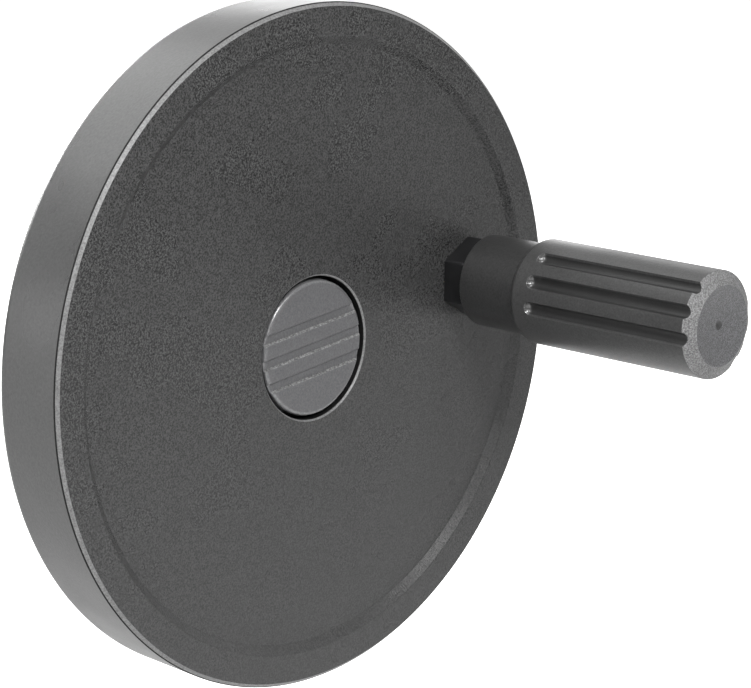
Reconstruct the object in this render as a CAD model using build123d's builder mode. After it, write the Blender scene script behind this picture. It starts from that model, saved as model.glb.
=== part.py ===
from build123d import *
import os
from math import cos, radians, sin, tan

os.makedirs("parts", exist_ok=True)

# Machine handwheel: a moulded disc wheel with a steel hub bush, a snap-in centre cap
# and a crank grip that turns on its own spindle.
# Millimetres and degrees. The wheel stands upright with its axis along Y: its face looks
# towards -Y, and the machine's shaft comes in from +Y. The origin is the centre of the
# bore on the rear seat face of the hub bush, and +Z is up.
# Heights are measured from that seat face towards the front, so height h lies at Y = -h.

# Rim and disc
wheel_diameter = 160.0
rim_depth = 20.0
rim_draft = 2.0
rim_wall = 4.5
rim_inner_draft = 3.0
rim_front_chamfer = 1.0
rim_back_rounding = 2.0
rim_inner_rounding = 1.0
seat_to_rim = 38.0
front_ring_width = 7.7
recess_depth = 1.6
recess_slope_width = 2.1
recess_edge_rounding = 0.4
plate_thickness = 4.5
root_rounding = 2.5

# Ribs behind the disc
rib_count = 6
rib_thickness = 3.2
rib_draft = 1.0
rib_below_rim = 2.0
rib_rise_at_hub = 8.0

# Hub and its steel bush
hub_diameter = 38.0
hub_draft = 2.0
hub_edge_rounding = 1.0
bore_diameter = 14.0
bore_chamfer = 0.6
bush_end_diameter = 24.0
bush_hexagon = 25.0
bush_land = 4.0
bush_stand_out = 0.5

# Centre cap and its pocket
cap_diameter = 32.0
cap_edge_gap = 0.9
cap_sink = 0.3
cap_edge_rounding = 0.9
cap_plate = 4.7
pocket_chamfer = 0.4
groove_count = 3
groove_pitch = 5.75
groove_width = 2.6
groove_depth = 0.7
groove_wall_angle = 25.0
groove_tilt = 6.0
clip_diameter = 26.0
clip_wall = 1.6
clip_length = 6.0
clip_bead = 0.4
clip_bead_length = 1.6
clip_clearance = 0.1
clip_slot_count = 4
clip_slot_width = 2.4
screw_head_gap = 1.5

# Place of the grip on the disc: in from the rim's edge, and round from +X towards +Z
grip_inset = 26.0
grip_angle = 9.0

# Threaded insert and the boss around it
thread_diameter = 10.0
thread_length = 11.0
insert_hexagon = 15.0
insert_length = 12.5
insert_groove_depth = 1.2
insert_groove_width = 3.0
boss_wall = 3.4
boss_cover = 2.5
boss_draft = 1.5

# Spindle
collar_across_flats = 17.0
collar_height = 6.7
collar_face_step = 0.4
collar_face_angle = 30.0
collar_turn = 29.0
journal_diameter = 10.0
journal_length = 46.0
journal_chamfer = 1.0
thread_chamfer = 1.0
ring_wire = 1.2
ring_outer_diameter = 11.8
ring_groove_depth = 1.3
ring_opening = 2.4
ring_from_collar = 9.0

# Grip
grip_diameter = 25.2
grip_end_height = 75.0
neck_step = 1.5
neck_length = 16.4
shoulder_length = 1.2
shoulder_rounding = 1.5
neck_root_rounding = 0.8
mouth_chamfer = 0.5
grip_chamfer_length = 1.9
grip_chamfer_depth = 3.2
dish_depth = 1.0
dimple_radius = 1.1
dimple_depth = 0.6
flute_count = 3
flute_groups = 2
flute_spacing = 29.3
flute_group_angle = 156.7
flute_radius = 1.74
flute_depth = 1.3
flute_start = 6.8
running_gap = 0.3
journal_clearance = 0.06
ring_room = 0.3
bore_end_gap = 1.0
drill_point_angle = 59.0

# Heights and radii that follow from the sizes above
rim_height = seat_to_rim
rim_back_height = rim_height - rim_depth
floor_height = rim_height - recess_depth
plate_back_height = floor_height - plate_thickness
rim_radius = wheel_diameter / 2
rim_back_outer = rim_radius - rim_depth * tan(radians(rim_draft))
rim_back_inner = rim_back_outer - rim_wall
skirt_depth = plate_back_height - rim_back_height
skirt_root_radius = rim_back_inner - skirt_depth * tan(radians(rim_inner_draft))
recess_radius = rim_radius - front_ring_width
hub_end_height = bush_stand_out
hub_end_radius = hub_diameter / 2
hub_root_radius = hub_end_radius + (plate_back_height - hub_end_height) * tan(radians(hub_draft))

cap_radius = cap_diameter / 2
pocket_radius = cap_radius + cap_edge_gap
cap_top_height = floor_height - cap_sink
ledge_height = cap_top_height - cap_plate
clip_radius = clip_diameter / 2
clip_hole_radius = clip_radius + clip_clearance
clip_end_height = ledge_height - clip_length
bush_front_height = clip_end_height - screw_head_gap

pitch_radius = rim_radius - grip_inset
grip_x = pitch_radius * cos(radians(grip_angle))
grip_z = pitch_radius * sin(radians(grip_angle))
insert_end_height = floor_height - insert_length
thread_end_height = floor_height - thread_length
boss_end_height = insert_end_height - boss_cover
boss_end_radius = insert_hexagon / 2 / cos(radians(30)) + boss_wall
boss_root_radius = boss_end_radius + (plate_back_height - boss_end_height) * tan(radians(boss_draft))

collar_corner_radius = collar_across_flats / 2 / cos(radians(30))
collar_face_radius = collar_across_flats / 2 - collar_face_step
collar_top_height = floor_height + collar_height
collar_shoulder_height = collar_top_height - (
    (collar_corner_radius - collar_face_radius) * tan(radians(collar_face_angle))
)
journal_radius = journal_diameter / 2
journal_end_height = collar_top_height + journal_length
ring_middle_height = collar_top_height + ring_from_collar
ring_groove_radius = journal_radius - ring_groove_depth
ring_inner_radius = ring_outer_diameter / 2 - ring_wire

grip_radius = grip_diameter / 2
neck_radius = grip_radius - neck_step
grip_mouth_height = collar_top_height + running_gap
shoulder_height = grip_mouth_height + neck_length
grip_top_height = rim_height + grip_end_height
grip_bore_radius = journal_radius + journal_clearance
grip_bore_height = journal_end_height + bore_end_gap
ring_room_radius = ring_outer_diameter / 2 + ring_room
ring_room_half = ring_wire / 2 + ring_room

# Working planes: section planes hold (radius, height), and front planes look out of the wheel
wheel_section_plane = Plane(origin=(0, 0, 0), x_dir=(1, 0, 0), z_dir=(0, 0, -1))
grip_section_plane = Plane(origin=(grip_x, 0, grip_z), x_dir=(1, 0, 0), z_dir=(0, 0, -1))
wheel_front_plane = Plane.XZ
grip_front_plane = Plane(origin=(grip_x, 0, grip_z), x_dir=(1, 0, 0), z_dir=(0, -1, 0))
wheel_axis = Axis((0, 0, 0), (0, -1, 0))
grip_axis = Axis((grip_x, 0, grip_z), (0, -1, 0))


def corner(sketch, radius, height):
    """Vertex of a section sketch that lies at this radius and height."""
    return sketch.vertices().sort_by_distance((radius, height))[0]


# Hub bush as it is moulded in: hexagon bar with both ends turned round
with BuildPart() as bush_blank:
    with BuildSketch(wheel_front_plane):
        Circle(bush_end_diameter / 2)
    extrude(amount=bush_front_height)
    with BuildSketch(wheel_front_plane.offset(bush_land)):
        RegularPolygon(bush_hexagon / 2, 6, major_radius=False)
    extrude(amount=bush_front_height - 2 * bush_land)

# Hub bush with the plain reamed bore for the shaft
with BuildPart() as hub_bush:
    add(bush_blank.part)
    with BuildSketch(wheel_front_plane):
        Circle(bore_diameter / 2)
    extrude(amount=bush_front_height, mode=Mode.SUBTRACT)
    mouths = hub_bush.edges().filter_by(GeomType.CIRCLE)
    between = (bore_diameter + bush_end_diameter) / 4
    chamfer(mouths.filter_by(lambda mouth: mouth.radius < between), bore_chamfer)
hub_bush.part.label = "hub_bush"
export_step(hub_bush.part, "parts/hub_bush.step")

# Threaded insert as it is moulded in: hexagon bar with a turned groove that the moulding grips
with BuildPart() as insert_blank:
    with BuildSketch(grip_front_plane.offset(insert_end_height)):
        RegularPolygon(insert_hexagon / 2, 6, major_radius=False)
    extrude(amount=insert_length)
    with BuildSketch(grip_front_plane.offset(insert_end_height + insert_length / 2)):
        Circle(insert_hexagon)
        Circle(insert_hexagon / 2 - insert_groove_depth, mode=Mode.SUBTRACT)
    extrude(amount=insert_groove_width / 2, both=True, mode=Mode.SUBTRACT)

with BuildPart() as grip_insert:
    add(insert_blank.part)
    with BuildSketch(grip_front_plane.offset(insert_end_height)):
        Circle(thread_diameter / 2)
    extrude(amount=insert_length, mode=Mode.SUBTRACT)
grip_insert.part.label = "grip_insert"
export_step(grip_insert.part, "parts/grip_insert.step")

# Ribs behind the disc: drafted bars in a star, cut off behind by a cone from hub to rim
rib_reach = (skirt_root_radius + rim_back_outer) / 2
with BuildPart() as rib_star:
    with BuildSketch(wheel_front_plane.offset(plate_back_height)):
        with PolarLocations(rib_reach / 2, rib_count, start_angle=grip_angle):
            Rectangle(rib_reach, rib_thickness)
    extrude(amount=plate_back_height - hub_end_height, dir=(0, 1, 0), taper=rib_draft)
    with BuildSketch(wheel_section_plane):
        with BuildLine():
            Polyline(
                (0, -rib_thickness),
                (rib_reach + rib_thickness, -rib_thickness),
                (rib_reach + rib_thickness, rim_back_height + rib_below_rim),
                (rim_back_inner, rim_back_height + rib_below_rim),
                (hub_end_radius, rim_back_height - rib_rise_at_hub),
                (0, rim_back_height - rib_rise_at_hub),
                close=True,
            )
        make_face()
    revolve(axis=wheel_axis, mode=Mode.SUBTRACT)

# Wheel: one moulding of disc, rim, hub, ribs and grip boss, formed around both metal inserts
with BuildPart() as wheel_body:
    with BuildSketch(wheel_section_plane) as wheel_section:
        with BuildLine():
            Polyline(
                (0, floor_height),
                (recess_radius - recess_slope_width, floor_height),
                (recess_radius, rim_height),
                (rim_radius, rim_height),
                (rim_back_outer, rim_back_height),
                (rim_back_inner, rim_back_height),
                (skirt_root_radius, plate_back_height),
                (hub_root_radius, plate_back_height),
                (hub_end_radius, hub_end_height),
                (0, hub_end_height),
                close=True,
            )
        make_face()
        chamfer(corner(wheel_section, rim_radius, rim_height), rim_front_chamfer)
        fillet(corner(wheel_section, rim_back_outer, rim_back_height), rim_back_rounding)
        fillet(corner(wheel_section, rim_back_inner, rim_back_height), rim_inner_rounding)
        fillet(corner(wheel_section, skirt_root_radius, plate_back_height), root_rounding)
        fillet(corner(wheel_section, hub_root_radius, plate_back_height), root_rounding)
        fillet(corner(wheel_section, hub_end_radius, hub_end_height), hub_edge_rounding)
        fillet(corner(wheel_section, recess_radius, rim_height), recess_edge_rounding)
    revolve(axis=wheel_axis)
    add(rib_star.part)

    # Boss for the threaded insert, on the rib that runs out under the grip
    with BuildSketch(grip_front_plane.offset(plate_back_height)):
        Circle(boss_root_radius)
    extrude(amount=plate_back_height - boss_end_height, dir=(0, 1, 0), taper=boss_draft)

    # Cap pocket, and below its ledge the round hole that the cap's clip springs into
    with BuildSketch(wheel_section_plane):
        with BuildLine():
            Polyline(
                (0, bush_front_height),
                (clip_hole_radius, bush_front_height),
                (clip_hole_radius, clip_end_height - clip_clearance),
                (clip_hole_radius + clip_bead, clip_end_height - clip_clearance),
                (clip_hole_radius + clip_bead, clip_end_height + clip_bead_length + clip_clearance),
                (clip_hole_radius, clip_end_height + clip_bead_length + clip_bead + clip_clearance),
                (clip_hole_radius, ledge_height),
                (pocket_radius, ledge_height),
                (pocket_radius, floor_height - pocket_chamfer),
                (pocket_radius + pocket_chamfer, floor_height),
                (0, floor_height),
                close=True,
            )
        make_face()
    revolve(axis=wheel_axis, mode=Mode.SUBTRACT)
    add(bush_blank.part, mode=Mode.SUBTRACT)
    add(insert_blank.part, mode=Mode.SUBTRACT)
wheel_body.part.label = "wheel_body"
export_step(wheel_body.part, "parts/wheel_body.step")

# Centre cap: a plate on the pocket's ledge, with a slotted clip ring behind it
with BuildPart() as centre_cap:
    with BuildSketch(wheel_section_plane) as cap_section:
        with BuildLine():
            Polyline(
                (0, ledge_height + cap_plate / 2),
                (clip_radius - clip_wall, ledge_height + cap_plate / 2),
                (clip_radius - clip_wall, clip_end_height),
                (clip_radius, clip_end_height),
                (clip_radius + clip_bead, clip_end_height + clip_bead),
                (clip_radius + clip_bead, clip_end_height + clip_bead_length),
                (clip_radius, clip_end_height + clip_bead_length + clip_bead),
                (clip_radius, ledge_height),
                (cap_radius, ledge_height),
                (cap_radius, cap_top_height),
                (0, cap_top_height),
                close=True,
            )
        make_face()
        fillet(corner(cap_section, cap_radius, cap_top_height), cap_edge_rounding)
    revolve(axis=wheel_axis)

    # Straight grooves right across the plate, a little tilted
    with BuildSketch(wheel_front_plane.offset(cap_top_height)):
        with Locations(Location((0, 0, 0), (0, 0, groove_tilt))):
            with GridLocations(0, groove_pitch, 1, groove_count):
                Rectangle(cap_diameter + 2 * groove_width, groove_width)
    extrude(amount=-groove_depth, taper=groove_wall_angle, mode=Mode.SUBTRACT)

    # Slots that let the clip ring spring
    with BuildSketch(wheel_front_plane.offset(clip_end_height)):
        with PolarLocations(clip_radius, clip_slot_count, start_angle=groove_tilt):
            Rectangle(4 * clip_wall, clip_slot_width)
    extrude(amount=clip_length, mode=Mode.SUBTRACT)
centre_cap.part.label = "centre_cap"
export_step(centre_cap.part, "parts/centre_cap.step")

# Grip spindle: thread, hexagon collar, journal and ring groove, turned from hexagon bar
with BuildPart() as grip_spindle:
    with BuildSketch(grip_section_plane):
        with BuildLine():
            Polyline(
                (0, thread_end_height),
                (thread_diameter / 2 - thread_chamfer, thread_end_height),
                (thread_diameter / 2, thread_end_height + thread_chamfer),
                (thread_diameter / 2, floor_height),
                (collar_corner_radius, floor_height),
                (collar_corner_radius, collar_shoulder_height),
                (collar_face_radius, collar_top_height),
                (journal_radius, collar_top_height),
                (journal_radius, ring_middle_height - ring_wire / 2),
                (ring_groove_radius, ring_middle_height - ring_wire / 2),
                (ring_groove_radius, ring_middle_height + ring_wire / 2),
                (journal_radius, ring_middle_height + ring_wire / 2),
                (journal_radius, journal_end_height - journal_chamfer),
                (journal_radius - journal_chamfer, journal_end_height),
                (0, journal_end_height),
                close=True,
            )
        make_face()
    revolve(axis=grip_axis)
    with BuildSketch(grip_front_plane.offset(floor_height)):
        Circle(collar_across_flats)
        RegularPolygon(
            collar_across_flats / 2, 6, major_radius=False, rotation=collar_turn, mode=Mode.SUBTRACT
        )
    extrude(amount=collar_height, mode=Mode.SUBTRACT)
grip_spindle.part.label = "grip_spindle"
export_step(grip_spindle.part, "parts/grip_spindle.step")

# Open spring ring: it stands out of the spindle's groove, which is deep enough for it to close up
with BuildPart() as retaining_ring:
    with BuildSketch(grip_front_plane.offset(ring_middle_height)):
        Circle(ring_outer_diameter / 2)
        Circle(ring_inner_radius, mode=Mode.SUBTRACT)
        with Locations((journal_radius, 0)):
            Rectangle(ring_outer_diameter / 2, ring_opening, mode=Mode.SUBTRACT)
    extrude(amount=ring_wire / 2, both=True)
retaining_ring.part.label = "retaining_ring"
export_step(retaining_ring.part, "parts/retaining_ring.step")

# Grip: one turned sleeve with a blind bore, a room for the ring, a stepped neck and a dished end
with BuildPart() as grip:
    with BuildSketch(grip_section_plane) as grip_section:
        with BuildLine():
            Polyline(
                (grip_bore_radius + mouth_chamfer, grip_mouth_height),
                (neck_radius, grip_mouth_height),
                (neck_radius, shoulder_height),
                (grip_radius, shoulder_height + shoulder_length),
                (grip_radius, grip_top_height - grip_chamfer_length),
                (grip_radius - grip_chamfer_depth, grip_top_height),
                (dimple_radius, grip_top_height - dish_depth),
                (0, grip_top_height - dish_depth - dimple_depth),
                (0, grip_bore_height + grip_bore_radius / tan(radians(drill_point_angle))),
                (grip_bore_radius, grip_bore_height),
                (grip_bore_radius, ring_middle_height + ring_room_half),
                (ring_room_radius, ring_middle_height + ring_room_half),
                (ring_room_radius, ring_middle_height - ring_room_half),
                (grip_bore_radius, ring_middle_height - ring_room_half),
                (grip_bore_radius, grip_mouth_height + mouth_chamfer),
                close=True,
            )
        make_face()
        fillet(corner(grip_section, neck_radius, shoulder_height), neck_root_rounding)
        fillet(corner(grip_section, grip_radius, shoulder_height + shoulder_length), shoulder_rounding)
    revolve(axis=grip_axis)

    # Finger flutes: ball-ended channels that run out through the end chamfer
    flute_circle = grip_radius + flute_radius - flute_depth
    flute_bottom_plane = grip_front_plane.offset(shoulder_height + flute_start)
    flute_length = grip_top_height - shoulder_height - flute_start
    for group in range(flute_groups):
        first_angle = flute_group_angle + group * 360 / flute_groups - flute_spacing * (flute_count - 1) / 2
        with BuildSketch(flute_bottom_plane):
            with PolarLocations(flute_circle, flute_count, first_angle, flute_count * flute_spacing):
                Circle(flute_radius)
        extrude(amount=flute_length, mode=Mode.SUBTRACT)
        with Locations(flute_bottom_plane):
            with PolarLocations(flute_circle, flute_count, first_angle, flute_count * flute_spacing):
                Sphere(flute_radius, mode=Mode.SUBTRACT)
grip.part.label = "grip"
export_step(grip.part, "parts/grip.step")
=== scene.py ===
"""Looks of a disc handwheel: a moulded wheel, its centre cap, hub bush and a fluted crank grip.

Sizes are millimetres unless a name says otherwise. Heights are measured from the hub's rear
seat towards the front of the wheel, so height h lies at Y = -h, as in the part itself.
"""

import logging
import math
from dataclasses import dataclass, field
from enum import Enum
from typing import Callable, Optional, Sequence

import bmesh
import bpy
from mathutils import Matrix, Vector


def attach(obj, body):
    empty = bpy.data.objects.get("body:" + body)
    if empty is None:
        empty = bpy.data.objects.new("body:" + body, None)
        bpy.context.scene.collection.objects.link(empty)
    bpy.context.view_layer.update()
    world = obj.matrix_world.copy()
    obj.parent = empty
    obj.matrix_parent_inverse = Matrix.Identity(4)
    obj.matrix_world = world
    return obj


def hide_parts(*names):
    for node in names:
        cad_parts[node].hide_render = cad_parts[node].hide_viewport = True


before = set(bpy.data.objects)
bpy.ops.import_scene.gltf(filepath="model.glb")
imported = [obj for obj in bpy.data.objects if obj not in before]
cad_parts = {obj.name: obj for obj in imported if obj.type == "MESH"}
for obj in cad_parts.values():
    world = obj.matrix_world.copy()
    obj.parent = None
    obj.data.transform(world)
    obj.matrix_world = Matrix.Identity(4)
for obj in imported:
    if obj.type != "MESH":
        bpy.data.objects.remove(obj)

MM = 0.001
LOG = logging.getLogger("handwheel")
POLE = 1e-6  # a section point nearer to its axis than this lies on it
DOUBLED = 1e-7  # metres between points that are merged
GRAIN_TURN = (0.5, 0.3, 0.7)  # keeps the noise's own lattice off the part's flat faces
PAINTED_RAKE_ALONG = (0.5, 0.0, -1.0)  # painted light: the grain's contrast falls off from the wheel's upper left to its lower right, as under raking light from the upper left
PAINTED_RAKE_REACH = (-0.075, 0.060)  # metres along it between which the painted raking light weakens the grain
PAINTED_RAKE_GREY = 0.46  # grey that the grain weakens towards where the painted raking light falls off
SUPPORT_SHARE = 0.12  # distance from an arc to the row that supports it, as a share of its radius
SLACK = 0.1  # allowance in telling which zone a face is in
NEAR = 0.05  # the same where zones are closer together
SLIGHT = 0.02  # the same where the zone starts at the face's own level
TOUCHING = 0.01  # the same for a face on the level itself
FORWARD = 0.3  # least forward part of the normal of a face that looks forwards
BEVELLED = (0.55, 0.85)  # forward part of the normal of a face on a chamfer, least and most
PATCH_GREYS = (0.3, 0.7)  # grey values at which a patch is at its glossiest and its dullest
TORN_GREYS = (0.38, 0.66)  # grey values at which torn grain is dark and light
MARK_GREYS = (0.4, 1.1)  # grey values at which turning marks are dark and light
MARK_STRETCH = (0.4, 16.0, 0.4)  # draws turning marks out round the wheel's axis
WHITE = (1.0, 1.0, 1.0, 1.0)
LAMPS = (  # name, place in metres, width and height in metres, and power in watts
    ("above", (-0.05, -0.12, 1.0), (0.6, 0.3), 3.4),
    ("above_behind", (0.0, 0.75, 0.85), (0.9, 0.5), 1.9),
    ("above_left_front", (-0.4, -0.75, 0.75), (0.3, 0.3), 7.6),
    ("above_front", (0.05, -0.95, 0.62), (0.25, 0.25), 2.2),
    ("low_left_front", (-0.75, -0.75, 0.45), (0.3, 0.3), 1.0),
    ("left", (-0.9, -0.1, 0.6), (0.4, 0.4), 6.0),
    ("left_behind", (-0.85, 0.75, 0.05), (0.4, 0.5), 1.2),
    ("behind", (0.1, 1.1, 0.4), (0.8, 0.4), 12.2),
    ("right_behind", (0.8, 0.8, 0.2), (0.5, 0.5), 1.6),
)

Point = tuple[float, float]
Triple = tuple[float, float, float]
RadiusRule = Callable[[float, float, float], float]
Face = bpy.types.MeshPolygon
Material = bpy.types.Material
Mesh = bpy.types.Mesh
Piece = bpy.types.Object
Socket = bpy.types.NodeSocket


class Body(Enum):
    """The two bodies that the joint lets turn against each other."""

    WHEEL = "wheel"
    GRIP = "grip"


class WheelZone(Enum):
    """The wheel's finishes, by their place in the disc's list of materials."""

    GRAINED = 0
    PLAIN = 1
    EDGE = 2
    # painted shade on the cap pocket's wall, and a thin darker line along the rim chamfer's outer edge
    DARK = 3


class BushZone(Enum):
    """The hub bush's finishes, by their place in its list of materials."""

    OUTSIDE = 0
    BORE = 1


class CapZone(Enum):
    """The cap's finishes, by their place in its list of materials."""

    FACE = 0
    GROOVE = 1
    EDGE = 2


class GripZone(Enum):
    """The grip's finishes, by their place in its list of materials."""

    SLEEVE = 0
    CHAMFER = 1
    DISH = 2
    FLUTE = 3
    NECK = 4
    FLUTE_END = 5


@dataclass(frozen=True)
class Corner:
    """One corner of a turned section.

    Args:
        radius: distance from the turning axis.
        height: height above the hub's seat face.
        rounding: radius of the arc that replaces the corner, or nothing for a sharp one.
    """

    radius: float
    height: float
    rounding: float = 0.0


def rounded_outline(corners: Sequence[Corner], closed: bool, arc_steps: int = 8) -> list[Point]:
    """Turns section corners into points, with an arc at each rounded corner.

    Args:
        corners: the corners in order.
        closed: whether the last corner joins the first.
        arc_steps: how many pieces each arc has.

    Returns:
        The points of the outline, as radius and height.
    """
    points: list[Point] = []
    count = len(corners)
    for place, corner in enumerate(corners):
        here = Vector((corner.radius, corner.height))
        at_end = not closed and place in (0, count - 1)
        if at_end or corner.rounding <= 0:
            points.append((here.x, here.y))
            continue
        before = corners[place - 1]
        after = corners[(place + 1) % count]
        to_before = (Vector((before.radius, before.height)) - here).normalized()
        to_after = (Vector((after.radius, after.height)) - here).normalized()
        half_turn = to_before.angle(to_after) / 2
        reach = corner.rounding / math.tan(half_turn)
        middle = here + (to_before + to_after).normalized() * (corner.rounding / math.sin(half_turn))
        start = here + to_before * reach
        end = here + to_after * reach
        support = SUPPORT_SHARE * corner.rounding
        points.append(tuple(start + to_before * support))
        first = start - middle
        sweep = first.angle_signed(end - middle)
        for step in range(arc_steps + 1):
            turned = first.copy()
            turned.rotate(Matrix.Rotation(-sweep * step / arc_steps, 2))
            points.append(tuple(middle + turned))
        points.append(tuple(end + to_after * support))
    return points


def drafted(length: float, angle: float) -> float:
    """How far a wall with a draft angle in degrees leans over a length."""
    return length * math.tan(math.radians(angle))


def even_angles(count: int) -> list[float]:
    """Angles spaced evenly round a full turn, in radians."""
    return [math.tau * step / count for step in range(count)]


def outward(mesh: Mesh) -> None:
    """Merges doubled points and turns every face outwards.

    Args:
        mesh: a closed mesh.
    """
    work = bmesh.new()
    work.from_mesh(mesh)
    bmesh.ops.remove_doubles(work, verts=work.verts, dist=DOUBLED)
    bmesh.ops.recalc_face_normals(work, faces=work.faces)
    if work.calc_volume(signed=True) < 0:
        bmesh.ops.reverse_faces(work, faces=work.faces)
    work.to_mesh(mesh)
    work.free()


def smooth(mesh: Mesh, crease_degrees: float) -> None:
    """Shades a mesh smooth, apart from edges sharper than the given angle."""
    mesh.shade_smooth()
    mesh.set_sharp_from_angle(angle=math.radians(crease_degrees))


def turned_mesh(
    name: str,
    rows: Sequence[Point],
    angles: Sequence[float],
    centre: Point,
    ring: bool,
    rule: Optional[RadiusRule] = None,
) -> Mesh:
    """Builds a turned solid from section rows.

    Args:
        name: name of the mesh.
        rows: section points as radius and height, from one end to the other.
        angles: the angles round the axis that the mesh has points at.
        centre: X and Z of the turning axis.
        ring: whether the section is a closed loop clear of the axis.
        rule: gives the radius at an angle, a radius and a height, where the form isn't round.

    Returns:
        A closed mesh with its faces pointing outwards.
    """
    vertices: list[Triple] = []
    row_starts: list[tuple[int, bool]] = []
    for radius, height in rows:
        pole = radius < POLE
        row_starts.append((len(vertices), pole))
        for angle in angles[:1] if pole else angles:
            reach = 0.0 if pole else (rule(angle, radius, height) if rule else radius)
            x = centre[0] + reach * math.cos(angle)
            z = centre[1] + reach * math.sin(angle)
            vertices.append((x * MM, -height * MM, z * MM))
    faces: list[tuple[int, ...]] = []
    count = len(angles)
    pairs = list(zip(range(len(rows)), range(1, len(rows))))
    if ring:
        pairs.append((len(rows) - 1, 0))
    for low, high in pairs:
        (start, start_pole), (other, other_pole) = row_starts[low], row_starts[high]
        for step in range(count):
            following = (step + 1) % count
            if start_pole:
                faces.append((start, other + following, other + step))
            elif other_pole:
                faces.append((start + step, start + following, other))
            else:
                faces.append((start + step, start + following, other + following, other + step))
    mesh = bpy.data.meshes.new(name)
    mesh.from_pydata(vertices, [], faces)
    mesh.validate()
    outward(mesh)
    return mesh


def placed(face: Face, centre: Point = (0.0, 0.0)) -> Point:
    """Distance of a face's middle from a turning axis, and its height."""
    across, up = face.center.x / MM - centre[0], face.center.z / MM - centre[1]
    return math.hypot(across, up), -face.center.y / MM


def paint(mesh: Mesh, zone: Callable[[Face], Enum]) -> None:
    """Gives each face of a mesh the finish of the zone that it lies in."""
    mesh.polygons.foreach_set("material_index", [zone(face).value for face in mesh.polygons])


def new_piece(name: str, mesh: Mesh, finishes: Sequence[Material]) -> Piece:
    """Puts a mesh in the scene as a piece of its own.

    Args:
        name: name of the piece.
        mesh: its mesh.
        finishes: its materials, unless the mesh already has some.

    Returns:
        The piece, at the origin.
    """
    piece = bpy.data.objects.new(name, mesh)
    bpy.context.scene.collection.objects.link(piece)
    if not mesh.materials:
        for finish in finishes:
            mesh.materials.append(finish)
    return piece


def soft_least(first: float, second: float, blend: float) -> float:
    """The smaller of two lengths, with the change from one to the other rounded.

    Args:
        first: one length.
        second: the other length.
        blend: over how much difference the two are blended.

    Returns:
        The rounded smaller length.
    """
    overlap = max(blend - abs(first - second), 0.0) / blend
    return min(first, second) - overlap * overlap * blend / 4


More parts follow.
